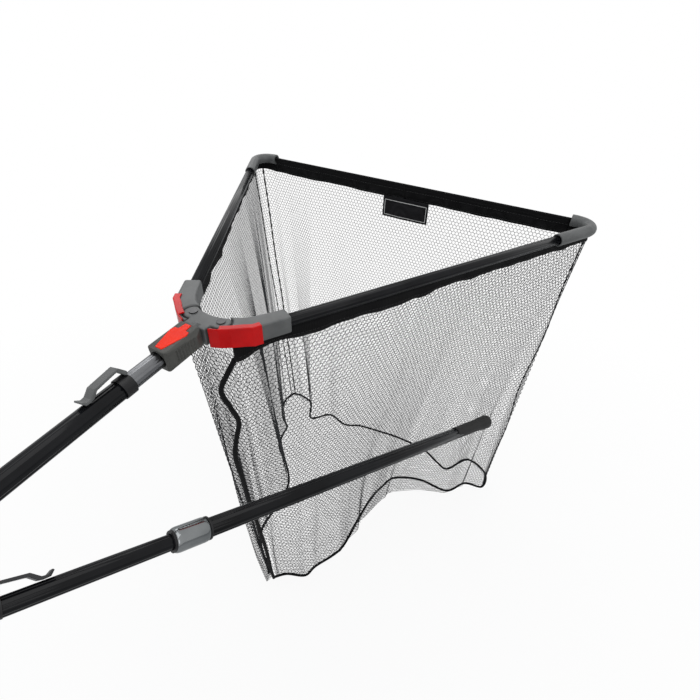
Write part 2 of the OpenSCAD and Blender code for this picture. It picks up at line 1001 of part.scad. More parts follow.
module butt_cap() {
  tip_cut = 4;
  seat_depth = outer_tube_end - pole_end + cap_len + 0.2;
  color("#141414")
    on_pole(pole_end - cap_len)
      rotate([0, 90, 0])
        difference() {
          rotate_extrude()
            polygon([
              [0, 0], [cap_seat_d / 2 - 1, 0], [cap_seat_d / 2, 1], [cap_seat_d / 2 + 0.6, cap_len - 40],
              [cap_d / 2, cap_len - 22], [cap_d / 2, cap_len - tip_cut], [cap_d / 2 - tip_cut, cap_len],
              [0, cap_len]
            ]);
          translate([0, 0, -1])
            cylinder(d = pole_outer_d + 2 * seat_gap, h = seat_depth + 1);
        }
}

front_tube();
front_clip_ring();
knuckle_fork();
knuckle_pin();
knuckle_washers();
silver_tube();
front_expander();
yoke_block();
pivot_pin_left();
pivot_pin_right();
bag_left();
bag_right();
bag_front();
bag_back();
bag_floor();
yoke_seam_cord();
floor_cord();
label();
front_cord();
front_hem_left();
front_hem_right();
lock_sleeve();
sleeve_inset();
arm_socket_left();
socket_cover_left();
arm_tube_left();
elbow_left();
arm_hem_left();
arm_socket_right();
socket_cover_right();
arm_tube_right();
elbow_right();
arm_hem_right();
front_clip();
rear_clip();
knuckle_tongue();
pole_inner_tube();
rear_clip_ring();
rear_expander();
pole_outer_tube();
collar_bush();
butt_cap();
twist_collar();
collar_ring_front();
collar_ring_rear();
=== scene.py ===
import json
import math

import bpy
import numpy as np
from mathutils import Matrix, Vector

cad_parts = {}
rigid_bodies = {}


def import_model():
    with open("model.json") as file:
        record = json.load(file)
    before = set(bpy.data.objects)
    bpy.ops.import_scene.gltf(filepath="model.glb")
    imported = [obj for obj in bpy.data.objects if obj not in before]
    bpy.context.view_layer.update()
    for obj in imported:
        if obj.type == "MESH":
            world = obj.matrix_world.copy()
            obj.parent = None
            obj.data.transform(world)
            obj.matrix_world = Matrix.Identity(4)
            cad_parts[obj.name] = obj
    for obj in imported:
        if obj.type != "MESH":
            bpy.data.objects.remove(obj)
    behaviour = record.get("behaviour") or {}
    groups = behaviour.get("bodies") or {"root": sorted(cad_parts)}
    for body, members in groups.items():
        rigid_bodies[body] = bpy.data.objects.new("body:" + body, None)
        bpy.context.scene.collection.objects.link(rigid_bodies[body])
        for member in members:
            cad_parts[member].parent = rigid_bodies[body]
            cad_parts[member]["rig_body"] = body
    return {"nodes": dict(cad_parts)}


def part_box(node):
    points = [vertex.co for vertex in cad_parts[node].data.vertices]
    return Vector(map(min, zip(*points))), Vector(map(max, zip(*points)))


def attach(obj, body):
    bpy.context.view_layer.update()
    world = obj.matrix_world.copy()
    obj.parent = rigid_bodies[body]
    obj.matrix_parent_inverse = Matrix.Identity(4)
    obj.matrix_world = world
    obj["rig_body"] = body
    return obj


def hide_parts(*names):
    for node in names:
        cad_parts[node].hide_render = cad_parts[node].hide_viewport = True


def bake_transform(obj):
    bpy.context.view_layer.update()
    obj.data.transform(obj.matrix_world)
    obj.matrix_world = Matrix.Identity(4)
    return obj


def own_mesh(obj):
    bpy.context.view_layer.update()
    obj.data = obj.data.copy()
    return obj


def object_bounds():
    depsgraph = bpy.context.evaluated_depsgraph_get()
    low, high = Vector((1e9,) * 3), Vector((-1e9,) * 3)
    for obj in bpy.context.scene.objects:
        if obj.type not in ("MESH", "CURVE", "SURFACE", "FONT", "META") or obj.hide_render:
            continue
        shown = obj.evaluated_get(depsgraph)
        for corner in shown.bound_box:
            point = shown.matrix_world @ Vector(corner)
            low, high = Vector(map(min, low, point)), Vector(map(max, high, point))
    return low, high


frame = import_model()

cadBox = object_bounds()
nodes = frame["nodes"]
scene = bpy.context.scene
print("frame loaded:", len(nodes), "nodes")


def middle(node):
    low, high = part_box(node)
    return (low + high) / 2


# driving places, all taken from the frame
pinReach = 0.070  # arm pins in front of the corner of the arm lines
mouthSetBack = 0.013  # how far the front cord runs into each elbow
armTurn = math.radians(30)
armSides = ((1, "left"), (-1, "right"))
apex = (middle("pivot_pin_left") + middle("pivot_pin_right")) / 2 - Vector((pinReach, 0, 0))
frontReach = middle("front_cord").x - apex.x
sideLength = frontReach / math.cos(armTurn)
mouthHalf = (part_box("front_cord")[1].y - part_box("front_cord")[0].y) / 2 - mouthSetBack


def atHead(points):
    # points given from the corner of the arm lines, moved into the row frame
    return np.asarray(points, float) + np.array(apex)


# camera
camera = {
    "place": (-0.0284, -0.3347, 0.3130),
    "turn": (51.96, -1.67, -61.07),  # degrees
    "lens": 23.78,
    "sensor": 36,
    "near": 0.02,
}
cameraData = bpy.data.cameras.new("camera")
cameraData.lens = camera["lens"]
cameraData.sensor_width = camera["sensor"]
cameraData.clip_start = camera["near"]
cameraObject = bpy.data.objects.new("camera", cameraData)
cameraObject.location = camera["place"]
cameraObject.rotation_euler = [math.radians(a) for a in camera["turn"]]
scene.collection.objects.link(cameraObject)
scene.camera = cameraObject
print("camera set")


# materials
def newFinish(name):
    mat = bpy.data.materials.new(name)
    mat.use_nodes = True
    tree = mat.node_tree
    return mat, tree, tree.nodes["Principled BSDF"]


def addNode(tree, kind, settings=None, **sockets):
    node = tree.nodes.new(kind)
    for key, value in (settings or {}).items():
        setattr(node, key, value)
    for key, value in sockets.items():
        node.inputs[key.replace("_", " ")].default_value = value
    return node


def stretchedPlace(tree, stretch=(1, 1, 1), turn=(0, 0, 0)):
    place = addNode(tree, "ShaderNodeTexCoord")
    mapping = addNode(tree, "ShaderNodeMapping")
    mapping.inputs["Scale"].default_value = stretch
    mapping.inputs["Rotation"].default_value = [math.radians(a) for a in turn]
    tree.links.new(place.outputs["Object"], mapping.inputs["Vector"])
    return mapping.outputs["Vector"]


def noiseOn(tree, place, scale, detail=3, rough=0.55):
    node = addNode(tree, "ShaderNodeTexNoise", Scale=scale, Detail=detail, Roughness=rough)
    tree.links.new(place, node.inputs["Vector"])
    return node.outputs["Fac"]


def twoTone(tree, factor, dark, light, low=0.35, high=0.65):
    ramp = addNode(tree, "ShaderNodeValToRGB")
    ramp.color_ramp.elements[0].position = low
    ramp.color_ramp.elements[1].position = high
    ramp.color_ramp.elements[0].color = (*dark, 1)
    ramp.color_ramp.elements[1].color = (*light, 1)
    tree.links.new(factor, ramp.inputs["Fac"])
    return ramp.outputs["Color"]


def roughBetween(tree, factor, low, high, shader):
    node = addNode(tree, "ShaderNodeMapRange", To_Min=low, To_Max=high)
    tree.links.new(factor, node.inputs["Value"])
    tree.links.new(node.outputs["Result"], shader.inputs["Roughness"])


def bumpFrom(tree, height, depth, shader, strength=0.5):
    node = addNode(tree, "ShaderNodeBump", Strength=strength, Distance=depth)
    tree.links.new(height, node.inputs["Height"])
    tree.links.new(node.outputs["Normal"], shader.inputs["Normal"])


def mixValues(tree, a, b, operation="ADD"):
    node = addNode(tree, "ShaderNodeMath", {"operation": operation})
    tree.links.new(a, node.inputs[0])
    tree.links.new(b, node.inputs[1])
    return node.outputs[0]


def metalFinish(name, dark, light, rough, stretch, metallic=1.0, gloss=0.5):
    # drawn and anodised tube: long faint lines, small changes of tone, a few rubbed spots
    mat, tree, shader = newFinish(name)
    lines = noiseOn(tree, stretchedPlace(tree, stretch), 60, 4)
    cloud = noiseOn(tree, stretchedPlace(tree), 18, 4)
    tree.links.new(twoTone(tree, cloud, dark, light), shader.inputs["Base Color"])
    roughBetween(tree, mixValues(tree, lines, cloud, "MULTIPLY"), rough[0], rough[1], shader)
    bumpFrom(tree, lines, 0.00012, shader, 0.25)
    shader.inputs["Metallic"].default_value = metallic
    shader.inputs["Specular IOR Level"].default_value = gloss
    return mat


def mouldedFinish(name, dark, light, rough, grain=1500, depth=0.0002, coat=0.0, gloss=0.3):
    # moulded plastic: fine spark grain, slow change of tone and gloss
    mat, tree, shader = newFinish(name)
    cloud = noiseOn(tree, stretchedPlace(tree), 30, 5)
    fine = noiseOn(tree, stretchedPlace(tree), grain, 2)
    tree.links.new(twoTone(tree, cloud, dark, light), shader.inputs["Base Color"])
    roughBetween(tree, cloud, rough[0], rough[1], shader)
    bumpFrom(tree, fine, depth, shader, 0.35)
    shader.inputs["Coat Weight"].default_value = coat
    shader.inputs["Coat Roughness"].default_value = 0.08
    shader.inputs["Specular IOR Level"].default_value = gloss
    return mat


def wavesOn(tree, place, scale, direction="X"):
    node = addNode(tree, "ShaderNodeTexWave", {"bands_direction": direction}, Scale=scale, Distortion=0.4)
    node.inputs["Detail"].default_value = 1
    tree.links.new(place, node.inputs["Vector"])
    return node.outputs["Fac"]


def wovenFinish(name, dark, light, pitch, turn=(0, 0, 0), depth=0.0004, sheen=0.3, rough=(0.75, 0.95)):
    # two crossing sets of yarns, with lint and faded patches
    mat, tree, shader = newFinish(name)
    place = stretchedPlace(tree, turn=turn)
    scale = 1 / (pitch * 6.28) * 2
    weave = mixValues(tree, wavesOn(tree, place, scale, "Y"), wavesOn(tree, place, scale, "Z"), "MULTIPLY")
    weave = mixValues(tree, weave, wavesOn(tree, place, scale, "X"), "ADD")
    lint = noiseOn(tree, stretchedPlace(tree), 45, 5)
    both = mixValues(tree, weave, lint, "MULTIPLY")
    tree.links.new(twoTone(tree, both, dark, light, 0.2, 0.95), shader.inputs["Base Color"])
    roughBetween(tree, lint, rough[0], rough[1], shader)
    bumpFrom(tree, weave, depth, shader, 0.6)
    shader.inputs["Sheen Weight"].default_value = sheen
    shader.inputs["Sheen Roughness"].default_value = 0.5
    shader.inputs["Specular IOR Level"].default_value = 0.12
    return mat


drawn = (0.08, 1, 1)  # stretches the noise along the tubes
finishes = {
    "anodised": metalFinish(
        "blackAnodised", (0.003, 0.0032, 0.004), (0.008, 0.0084, 0.010), (0.10, 0.24), drawn, 0.0, 0.15),
    "silver": metalFinish(
        "silverAnodised", (0.10, 0.104, 0.112), (0.18, 0.184, 0.192), (0.18, 0.36), drawn),
    "greyPlastic": mouldedFinish(
        "greyNylon", (0.085, 0.088, 0.088), (0.13, 0.134, 0.134), (0.34, 0.5)),
    "sleevePlastic": mouldedFinish(
        "sleeveNylon", (0.05, 0.05, 0.046), (0.085, 0.085, 0.078), (0.38, 0.55)),
    "darkPlastic": mouldedFinish(
        "darkNylon", (0.02, 0.021, 0.022), (0.036, 0.037, 0.039), (0.35, 0.5)),
    "blackPlastic": mouldedFinish(
        "blackNylon", (0.006, 0.006, 0.007), (0.014, 0.014, 0.015), (0.35, 0.5)),
    "acetal": mouldedFinish(
        "naturalAcetal", (0.62, 0.60, 0.53), (0.72, 0.70, 0.63), (0.35, 0.45)),
    "red": mouldedFinish(
        "redGloss", (0.52, 0.002, 0.003), (0.66, 0.005, 0.006), (0.2, 0.3), 700, 0.00008, 0.03, 0.14),
    "orange": mouldedFinish(
        "orangeRed", (0.88, 0.024, 0.008), (1.0, 0.038, 0.012), (0.3, 0.42), 900, gloss=0.15),
    "steel": metalFinish(
        "blackedSteel", (0.05, 0.05, 0.052), (0.09, 0.09, 0.092), (0.3, 0.5), (1, 1, 1)),
    "gunmetal": metalFinish(
        "darkChrome", (0.15, 0.16, 0.165), (0.24, 0.25, 0.255), (0.10, 0.22), (1, 1, 1)),
    "rubber": mouldedFinish(
        "blackRubber", (0.005, 0.005, 0.005), (0.013, 0.013, 0.013), (0.5, 0.7), 900, 0.0003),
    "hemCloth": wovenFinish(
        "hemCloth", (0.002, 0.002, 0.0024), (0.009, 0.009, 0.0096), 0.0011, sheen=0.03),
    "labelCloth": wovenFinish(
        "labelCloth", (0.004, 0.004, 0.005), (0.016, 0.016, 0.018), 0.0007, sheen=0.1),
    "labelLine": wovenFinish(
        "labelLine", (0.55, 0.55, 0.54), (0.85, 0.85, 0.84), 0.0007, sheen=0.1),
    "netThread": wovenFinish(
        "netThread", (0.013, 0.0135, 0.0155), (0.055, 0.058, 0.064), 0.0009, depth=0.0002, sheen=0.08),
    "seamThread": wovenFinish(
        "seamThread", (0.004, 0.004, 0.005), (0.015, 0.015, 0.017), 0.0012, sheen=0.05),
    "cordBraid": wovenFinish(
        "cordBraid", (0.002, 0.002, 0.0024), (0.010, 0.010, 0.011), 0.0016, (0, 45, 45), 0.0006, 0.03),
    "stitch": wovenFinish(
        "stitchThread", (0.02, 0.02, 0.021), (0.06, 0.06, 0.062), 0.0006, sheen=0.2),
}
print("finishes made:", len(finishes))


def settle(piece, body, replaces):
    if replaces:
        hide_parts(*replaces)
    if body:
        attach(piece, body)
    return piece


def placeMesh(mesh, finish, body, replaces):
    mesh.shade_smooth()
    mesh.materials.append(finishes[finish])
    piece = bpy.data.objects.new(mesh.name, mesh)
    scene.collection.objects.link(piece)
    return settle(piece, body, replaces)


def newPiece(name, vertices, faces, finish, body=None, slotName=None, replaces=()):
    mesh = bpy.data.meshes.new(name)
    mesh.from_pydata([tuple(v) for v in vertices], [], [tuple(f) for f in faces])
    return placeMesh(mesh, finish, body, replaces)


def skinOver(rings, firstCap=-1):
    # closed skin over rings of points; firstCap is the way round its first cap goes
    sides = len(rings[0])
    faces = []
    for i in range(len(rings) - 1):
        for k in range(sides):
            n = (k + 1) % sides
            faces.append((i * sides + k, i * sides + n, (i + 1) * sides + n, (i + 1) * sides + k))
    faces.append(tuple(range(sides))[::firstCap])
    faces.append(tuple((len(rings) - 1) * sides + k for k in range(sides)))
    return [point for ring in rings for point in ring], faces


def joined(skins):
    # several skins in one mesh
    vertices, faces = [], []
    for points, skin in skins:
        faces += [tuple(k + len(vertices) for k in face) for face in skin]
        vertices += points
    return vertices, faces


def smoothRoute(points, steps):
    # rounded line through given points, with even steps along each span
    p = np.asarray(points, float)
    p = np.vstack([2 * p[0] - p[1], p, 2 * p[-1] - p[-2]])
    t = np.linspace(0, 1, steps, endpoint=False)[:, None]
    spans = []
    for a, b, c, d in zip(p[:-3], p[1:-2], p[2:-1], p[3:]):
        spans.append(0.5 * (2 * b + (c - a) * t + (2 * a - 5 * b + 4 * c - d) * t ** 2
                            + (3 * b - a - 3 * c + d) * t ** 3))
    return np.vstack(spans + [p[-2:-1]])


def runAlong(line):
    # distance from the start of a line to each of its points
    gaps = np.linalg.norm(np.diff(line, axis=0), axis=1)
    return np.concatenate([[0], np.cumsum(gaps)])


def evenSteps(line, count):
    run = runAlong(line)
    marks = np.linspace(0, run[-1], count)
    return np.stack([np.interp(marks, run, line[:, k]) for k in range(3)], axis=1)


def roundCord(line, radius, sides=10):
    # tube along a line, with its rings carried along so that they don't twist
    tangents = np.gradient(line, axis=0)
    tangents /= np.linalg.norm(tangents, axis=1)[:, None]
    across = np.cross(tangents[0], (0.3, 0.2, 1.0))
    rings = []
    angles = np.arange(sides) * 2 * math.pi / sides
    for point, along in zip(line, tangents):
        across = across - along * np.dot(across, along)
        across /= np.linalg.norm(across)
        over = np.cross(along, across)
        rings.append([point + radius * (math.cos(a) * across + math.sin(a) * over) for a in angles])
    return skinOver(rings)


# cord sewn round the floor, from the corner of the arm lines, in metres
floorCord = {
    "diameter": 0.005,
    "route": [
        (0.110, 0, -0.653), (0.130, -0.020, -0.653), (0.145, -0.055, -0.650), (0.170, -0.065, -0.645),
        (0.220, -0.095, -0.630), (0.275, -0.100, -0.610), (0.330, -0.105, -0.590), (0.375, -0.115, -0.585),
        (0.410, -0.130, -0.585), (0.445, -0.180, -0.600), (0.470, -0.240, -0.630), (0.520, -0.270, -0.640),
        (0.540, -0.310, -0.650), (0.575, -0.305, -0.640), (0.585, -0.255, -0.630), (0.540, -0.220, -0.640),
        (0.550, -0.190, -0.645), (0.575, -0.145, -0.650), (0.580, -0.075, -0.650), (0.570, -0.020, -0.645),
        (0.565, 0.040, -0.650), (0.540, 0.075, -0.640), (0.555, 0.130, -0.645), (0.510, 0.165, -0.635),
        (0.570, 0.205, -0.645), (0.580, 0.265, -0.650), (0.535, 0.270, -0.645), (0.475, 0.235, -0.630),
        (0.440, 0.195, -0.620), (0.410, 0.185, -0.615), (0.365, 0.165, -0.605), (0.325, 0.115, -0.600),
        (0.285, 0.080, -0.600), (0.250, 0.075, -0.610), (0.205, 0.075, -0.620), (0.175, 0.075, -0.630),
        (0.145, 0.055, -0.640), (0.125, 0.025, -0.650), (0.112, 0.012, -0.653),
    ],
}


def foldWithArms(piece):
    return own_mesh(piece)


floorLine = smoothRoute(atHead(floorCord["route"]), 8)
vertices, faces = roundCord(floorLine, floorCord["diameter"] / 2)
piece = newPiece("floorCord", vertices, faces, "cordBraid", "head", "black_cord", ["floor_cord"])
foldWithArms(piece)
print("floor cord laid, length", round(runAlong(floorLine)[-1], 3))

# cord sewn down the yoke seam
yokeCord = {
    "diameter": 0.0065,
    "route": [
        (0.066, -0.036, -0.032), (0.056, -0.030, -0.050), (0.050, -0.022, -0.075), (0.057, -0.024, -0.105),
        (0.066, -0.025, -0.140), (0.060, -0.020, -0.175), (0.058, -0.016, -0.210), (0.066, -0.014, -0.270),
        (0.074, -0.012, -0.350), (0.084, -0.012, -0.430), (0.094, -0.010, -0.520), (0.100, -0.008, -0.600),
        (0.106, -0.006, -0.640),
    ],
}
yokeLine = smoothRoute(atHead(yokeCord["route"]), 10)
vertices, faces = roundCord(yokeLine, yokeCord["diameter"] / 2)
piece = newPiece("yokeCord", vertices, faces, "cordBraid", "head", "black_cord", ["yoke_seam_cord"])
print("yoke cord hung, length", round(runAlong(yokeLine)[-1], 3))


# line of the bent arm: straight, round the elbow, then back along the front bar
elbowRadius = 0.024
elbowTurn = math.radians(120)
arcStart = sideLength - elbowRadius * math.tan(elbowTurn / 2)
arcEnd = arcStart + elbowRadius * elbowTurn
mouthReach = arcEnd + (sideLength / 2 - mouthHalf) - (sideLength - arcStart)


def armPath(reach, side):
    # place on the arm's centre line, from the corner of the arm lines, and the direction into the mouth
    turn = max(0.0, min(reach, arcEnd) - arcStart) / elbowRadius
    heading = armTurn - turn
    inwards = np.array((math.sin(heading), -side * math.cos(heading), 0))
    place = np.array((math.cos(armTurn), side * math.sin(armTurn), 0)) * min(reach, arcStart)
    if turn:
        first = np.array((math.sin(armTurn), -side * math.cos(armTurn), 0))
        place = place + elbowRadius * (first - inwards)
    if reach > arcEnd:
        place = place + np.array((0, -side, 0)) * (reach - arcEnd)
    return place, inwards


armHem = {
    "start": 0.074,  # reach along the arm, as are the next three
    "flap": (0.08, 0.10),  # where the flap by the yoke is deepest, and where it ends
    "step": (0.33, 0.36),
    "slopeEnd": 0.67,
    "flapDrop": 0.008,
    "deep": 0.0265,  # depth below the arm's middle, before the step
    "shallow": 0.0205,
    "atElbow": 0.0185,
    "atMouth": 0.025,
    "seam": 0.0012,  # how far the netting is sewn up into the hem
    "lowestSeam": 0.0275,
    # up to this reach, the cloth starts this far below the arm's middle
    "tops": [(0.109, 0.0129), (0.144, 0.0110), (sideLength - 0.117, 0.0072)],
    "topAtElbow": 0.0096,
    "stitchFrom": 0.078,
    "stitchAt": 0.72,  # share of the way down
}


def between(reach, first, last, low, high):
    return low + (high - low) * (reach - first) / (last - first)


def hemDepth(reach, side):
    # lower edge of an arm hem: a flap by the yoke, a step along the arm, shallow at the corner
    deepest, flapEnd = armHem["flap"]
    if reach < flapEnd:
        deep = armHem["deep"] + armHem["flapDrop"] * math.cos((reach - deepest) / (flapEnd - deepest) * 1.57)
    elif reach < armHem["step"][0]:
        deep = armHem["deep"] - 0.0015 * math.sin(reach * 60)
    elif reach < armHem["step"][1]:
        deep = between(reach, *armHem["step"], armHem["deep"], armHem["shallow"])
    elif reach < arcStart:
        deep = between(reach, armHem["step"][1], armHem["slopeEnd"], armHem["shallow"], armHem["atElbow"])
    else:
        deep = between(reach, arcStart, mouthReach, armHem["atElbow"], armHem["atMouth"])
    return deep + 0.0006 * math.sin(reach * 95 + side)


def sewnLine(reaches, side):
    # where the netting is sewn to an arm hem
    line = []
    for reach in reaches:
        place, inwards = armPath(reach, side)
        line.append((place[0], place[1], armHem["seam"] - min(hemDepth(reach, side), armHem["lowestSeam"])))
    return line


# netting: six-sided meshes of thin twisted thread
net = {
    "mesh": 0.0068,  # width of one mesh
    "shift": 0.166,  # how far a knot lies off its row, as a share
    "thread": 0.00086,  # width of the thread
    "hang": 0.012,  # how far the walls belly in
}
net["row"] = net["mesh"] * 0.866  # height of one row of meshes


def threadNet(name, points, links, normals, threadWidth, body, replaces=()):
    # each thread is a three-sided open tube between two knots
    a = points[links[:, 0]]
    b = points[links[:, 1]]
    along = b - a
    along /= np.linalg.norm(along, axis=1)[:, None] + 1e-12
    out = normals[links[:, 0]]
    across = np.cross(along, out)
    across /= np.linalg.norm(across, axis=1)[:, None] + 1e-12
    out = np.cross(across, along)
    corners = []
    for end, shift in ((a, -0.25), (b, 0.25)):
        for turn in (90, 210, 330):
            c, s = math.cos(math.radians(turn)), math.sin(math.radians(turn))
            corners.append(end + along * shift * threadWidth + threadWidth / 2 * (c * across + s * out))
    vertices = np.stack(corners, axis=1).reshape(-1, 3)
    base = (np.arange(len(links)) * 6)[:, None, None]
    quads = np.array([[0, 1, 4, 3], [1, 2, 5, 4], [2, 0, 3, 5]])[None]
    loops = (base + quads).reshape(-1)
    mesh = bpy.data.meshes.new(name)
    mesh.vertices.add(len(vertices))
    mesh.vertices.foreach_set("co", vertices.astype(np.float32).ravel())
    mesh.loops.add(len(loops))
    mesh.loops.foreach_set("vertex_index", loops.astype(np.int32))
    mesh.polygons.add(len(loops) // 4)
    mesh.polygons.foreach_set("loop_start", np.arange(0, len(loops), 4, dtype=np.int32))
    mesh.update(calc_edges=True)
    return placeMesh(mesh, "netThread", body, replaces)


def meshGrid(columns, rows):
    # knots of a six-sided net on a plain grid, as (across, down), and the threads that join them
    i, j = np.meshgrid(np.arange(2 * columns + 1), np.arange(rows + 1))
    lowered = (i + j) % 2 == 0
    across = i / (2 * columns)
    down = (j + np.where(lowered, net["shift"], -net["shift"])) / rows
    number = j * (2 * columns + 1) + i
    zigzag = np.stack([number[:, :-1].ravel(), number[:, 1:].ravel()], axis=1)
    upright = np.stack([number[:-1][lowered[:-1]], number[1:][lowered[:-1]]], axis=1)
    return across.ravel(), np.clip(down.ravel(), 0, 1), np.vstack([zigzag, upright])


def along(line, share):
    run = runAlong(line) / runAlong(line)[-1]
    return np.stack([np.interp(share, run, line[:, k]) for k in range(3)], axis=-1)


def hungWall(across, down, topLine, lowLine, inward, folds):
    # a wall between its hem and the floor cord, bellied in, with folds that grow downwards
    top, low = along(topLine, across), along(lowLine, across)
    points = top + (low - top) * down[:, None]
    belly = net["hang"] * np.sin(math.pi * down) * np.sin(math.pi * np.clip(across, 0, 1)) ** 0.5
    for place, width, depth, start in folds:
        near = np.exp(-((across - place - 0.03 * np.sin(5 * down)) / width) ** 2)
        belly = belly + depth * near * np.clip(down - start, 0, 1) * np.cos((across - place) / width * 2.2)
    ripple = 0.0022 * np.sin(31 * across + 4 * down) * np.sin(5 * down + 9 * across)
    return points + np.asarray(inward) * (belly + ripple * down)[:, None]


def wallNormals(grid, shape):
    g = grid.reshape(shape[0], shape[1], 3)
    u, v = np.gradient(g, axis=1), np.gradient(g, axis=0)
    n = np.cross(u, v)
    n /= np.linalg.norm(n, axis=2)[:, :, None] + 1e-12
    return n.reshape(-1, 3)


def netWall(name, topLine, lowLine, inward, folds, body, replaces, upTo=(0.0, 1.0)):
    topLine, lowLine = np.asarray(topLine, float), np.asarray(lowLine, float)
    wide = runAlong(topLine)[-1]
    tall = abs(topLine[:, 2].mean() - lowLine[:, 2].mean())
    columns = max(3, round(wide * (upTo[1] - upTo[0]) / net["mesh"]))
    rows = round(tall / net["row"])
    across, down, links = meshGrid(columns, rows)
    across = upTo[0] + across * (upTo[1] - upTo[0])
    points = atHead(hungWall(across, down, topLine, lowLine, inward, folds))
    shape = (rows + 1, 2 * columns + 1)
    piece = threadNet(name, points, links, wallNormals(points, shape), net["thread"], body, replaces)
    print(name, "netted,", len(links), "threads")
    return piece


route = np.array(floorCord["route"])
farRight, farLeft = 12, 25  # corners of the floor along the cord's route
netEdge = route.copy()  # the netting ends at the cord, but hangs past it on the right
hangTo = -0.638
hangsPast = (route[:, 1] < -0.06) & (route[:, 0] < 0.5)
netEdge[hangsPast, 2] = np.minimum(route[hangsPast, 2], hangTo)
rightLow = netEdge[:farRight + 1]
frontLow = netEdge[farRight:farLeft + 1]
leftLow = netEdge[farLeft:][::-1]
cornerReach = (arcStart + arcEnd) / 2
armReaches = np.append(np.arange(armHem["start"], arcStart, 0.012), np.linspace(arcStart, cornerReach, 6))
turnReaches = np.linspace(cornerReach, mouthReach, 8)
rightTop, leftTop = sewnLine(armReaches, -1), sewnLine(armReaches, 1)
frontTop = sewnLine(turnReaches, -1) + sewnLine(turnReaches, 1)[::-1]
backTop = [leftTop[0], rightTop[0]]
backLow = [route[-1], route[0]]

wallFolds = {
    # place along the wall, width, depth, height where it starts
    "right": [(0.05, 0.04, 0.012, 0.1), (0.16, 0.03, -0.010, 0.3), (0.42, 0.05, 0.014, 0.4),
              (0.62, 0.03, -0.010, 0.3), (0.93, 0.03, 0.010, 0.1)],
    "left": [(0.08, 0.04, 0.016, 0.0), (0.22, 0.03, -0.012, 0.1), (0.45, 0.05, 0.012, 0.3),
             (0.80, 0.03, 0.012, 0.0), (0.95, 0.03, -0.016, 0.0)],
    "front": [(0.06, 0.03, 0.012, 0.1), (0.3, 0.06, -0.008, 0.4), (0.7, 0.05, 0.008, 0.3),
              (0.95, 0.03, 0.012, 0.0)],
    "back": [(0.5, 0.3, 0.014, -0.2)],
}
netWall("netRight", rightTop, rightLow, (-0.5, 0.86, 0), wallFolds["right"], "arm_right",
        ["bag_right"])
netWall("netLeft", leftTop, leftLow, (-0.5, -0.86, 0), wallFolds["left"], "arm_left",
        ["bag_left"])
frontRight = netWall("netFrontRight", frontTop, frontLow, (-1, 0, 0), wallFolds["front"],
                     None, ["bag_front"], (0.0, 0.5))
frontLeft = netWall("netFrontLeft", frontTop, frontLow, (-1, 0, 0), wallFolds["front"],
                    None, [], (0.5, 1.0))
netWall("netBack", backTop, backLow, (-1, 0, 0), wallFolds["back"], "head", ["bag_back"])


def followArm(piece):
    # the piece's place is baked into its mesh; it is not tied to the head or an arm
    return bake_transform(piece)


followArm(frontRight)
followArm(frontLeft)


# floor netting, inside the loop of cord
def insideLoop(x, y, loop):
    inside = np.zeros(len(x), bool)
    for (x1, y1), (x2, y2) in zip(loop, np.roll(loop, -1, axis=0)):
        crosses = (y1 > y) != (y2 > y)
        meets = (x2 - x1) * (y - y1) / (y2 - y1 + 1e-15) + x1
        inside ^= crosses & (x < meets)
    return inside


def floorHeight(x, y, line, sag):
    # height taken from the cord's own heights, nearer ones counting more, then sagging in the middle
    away = np.sqrt((x[:, None] - line[None, :, 0]) ** 2 + (y[:, None] - line[None, :, 1]) ** 2) + 0.004
    weight = away ** -2.5
    z = (weight * line[None, :, 2]).sum(axis=1) / weight.sum(axis=1)
    return z - sag * np.clip(away.min(axis=1) / 0.08, 0, 1) ** 2


floorNet = {"sag": 0.010, "lowest": -0.6535}  # the netting never hangs below the cord
lineLow = evenSteps(smoothRoute(atHead(netEdge), 8), 220)
low, high = lineLow.min(axis=0), lineLow.max(axis=0)
columns = round((high[0] - low[0]) / net["mesh"])
rows = round((high[1] - low[1]) / net["row"])
across, down, links = meshGrid(columns, rows)
x = low[0] + across * (high[0] - low[0])
y = low[1] + down * (high[1] - low[1])
within = insideLoop(x, y, lineLow[:, :2])
links = links[within[links].all(axis=1)]
height = floorHeight(x, y, lineLow, floorNet["sag"])
points = np.stack([x, y, np.maximum(height, apex.z + floorNet["lowest"])], axis=1)
upright = np.tile((0.0, 0.0, 1.0), (len(points), 1))
piece = threadNet("netFloor", points, links, upright, net["thread"], "head", ["bag_floor"])
foldWithArms(piece)
print("floor netted,", len(links), "threads")


# gathered corner seams, where two walls are sewn together
def seamLine(top, low, bow, waves):
    t = np.linspace(0, 1, 70)[:, None]
    line = np.asarray(top) + (np.asarray(low) - np.asarray(top)) * t
    sway = 0.004 * np.sin(waves * t * 6.28) * np.sin(math.pi * t)
    return atHead(line + np.asarray(bow) * (net["hang"] * 0.35 * np.sin(math.pi * t) + sway))


arms = {side: "arm_" + name for side, name in armSides}
cornerSeams = [
    # name, side, place along the arm, lower end, thickness
    ("left", 1, cornerReach, route[farLeft], 0.0017),
    ("leftSide", 1, arcStart - 0.016, np.asarray(route[farLeft]) + (-0.012, 0.004, 0), 0.0013),
    ("right", -1, cornerReach, route[farRight], 0.0011),
]
for name, side, reach, low, thick in cornerSeams:
    line = seamLine(sewnLine([reach], side)[0], low, (-0.6, -0.8 * side, 0), 2.5)
    sides = 6
    vertices, faces = roundCord(line, thick, sides)
    vertices = np.array(vertices).reshape(len(line), sides, 3)
    puckers = 1 + 0.35 * np.sin(np.arange(len(line)) * 2.4)[:, None, None]
    vertices = (line[:, None] + (vertices - line[:, None]) * puckers).reshape(-1, 3)
    newPiece("cornerSeam_" + name, vertices, faces, "seamThread", arms[side], "netting")
print("corner seams sewn")


